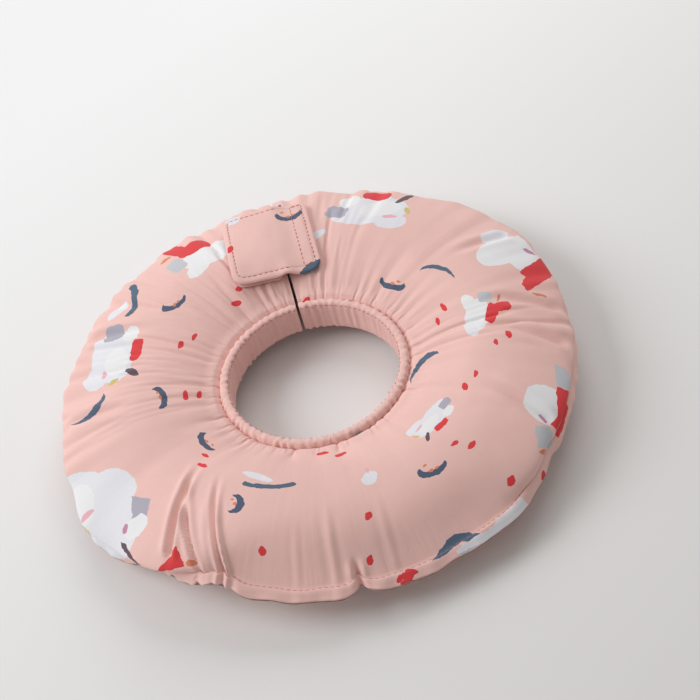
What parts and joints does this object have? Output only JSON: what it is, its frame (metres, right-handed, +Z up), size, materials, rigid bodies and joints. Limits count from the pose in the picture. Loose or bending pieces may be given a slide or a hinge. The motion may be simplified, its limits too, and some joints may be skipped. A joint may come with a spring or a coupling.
{
  "type": "elizabethan collar",
  "caption": "Soft padded ring collar for a small dog: printed cotton panels, fibre filling, gathered elastic neck band and a hook-and-loop nape flap.",
  "frame": {"origin": "under the middle of the neck opening, on the plane the collar lies on", "axes": "+Z up through the neck opening, towards the face side; the throat is at -Y and the slit with its flap, at the nape, at +Y"},
  "size_m": [0.26, 0.2599, 0.0411],
  "materials": {
    "printed_cotton": "fine plain-weave cotton, light salmon pink with a scattered multicolour print",
    "fibre_filling": "polyester fibre filling, matt white",
    "stitching_thread": "spun polyester sewing thread, darker pink",
    "elastic_webbing": "woven elastic, off-white",
    "hook_tape": "hook tape, pale pink",
    "loop_tape": "brushed loop tape, pale pink"
  },
  "bodies": {
    "throat_arc": {"throat_front_panel": "printed_cotton", "throat_back_panel": "printed_cotton", "throat_fibre_filling": "fibre_filling", "throat_seam_allowance": "printed_cotton", "throat_upper_thread": "stitching_thread", "throat_lower_thread": "stitching_thread", "throat_neck_band": "printed_cotton", "throat_neck_elastic": "elastic_webbing"},
    "left_wing": {"left_front_panel": "printed_cotton", "left_back_panel": "printed_cotton", "left_fibre_filling": "fibre_filling", "left_seam_allowance": "printed_cotton", "left_upper_thread": "stitching_thread", "left_lower_thread": "stitching_thread", "left_neck_band": "printed_cotton", "left_neck_elastic": "elastic_webbing", "left_end_gusset": "printed_cotton", "loop_strip": "loop_tape"},
    "right_wing": {"right_front_panel": "printed_cotton", "right_back_panel": "printed_cotton", "right_fibre_filling": "fibre_filling", "right_seam_allowance": "printed_cotton", "right_upper_thread": "stitching_thread", "right_lower_thread": "stitching_thread", "right_neck_band": "printed_cotton", "right_neck_elastic": "elastic_webbing", "right_end_gusset": "printed_cotton", "flap_root": "printed_cotton"},
    "closure_flap": {"flap_lower_panel": "printed_cotton", "flap_upper_panel": "printed_cotton", "hook_strip": "hook_tape", "flap_thread": "stitching_thread"}
  },
  "joints": [
    {"name": "right_wing_flex", "type": "hinge", "parent": "throat_arc", "child": "right_wing", "pos_m": [0.086, 0, 0.017], "axis": [1, 0, 0], "range_deg": [0, 60], "stiffness_Nm_per_rad": 0.06},
    {"name": "left_wing_flex", "type": "hinge", "parent": "throat_arc", "child": "left_wing", "pos_m": [-0.086, 0, 0.017], "axis": [1, 0, 0], "range_deg": [-60, 0], "stiffness_Nm_per_rad": 0.06},
    {"name": "flap_hinge", "type": "hinge", "parent": "right_wing", "child": "closure_flap", "pos_m": [0.006, 0.086, 0.04115], "axis": [0, 1, 0], "range_deg": [0, 150]}
  ]
}
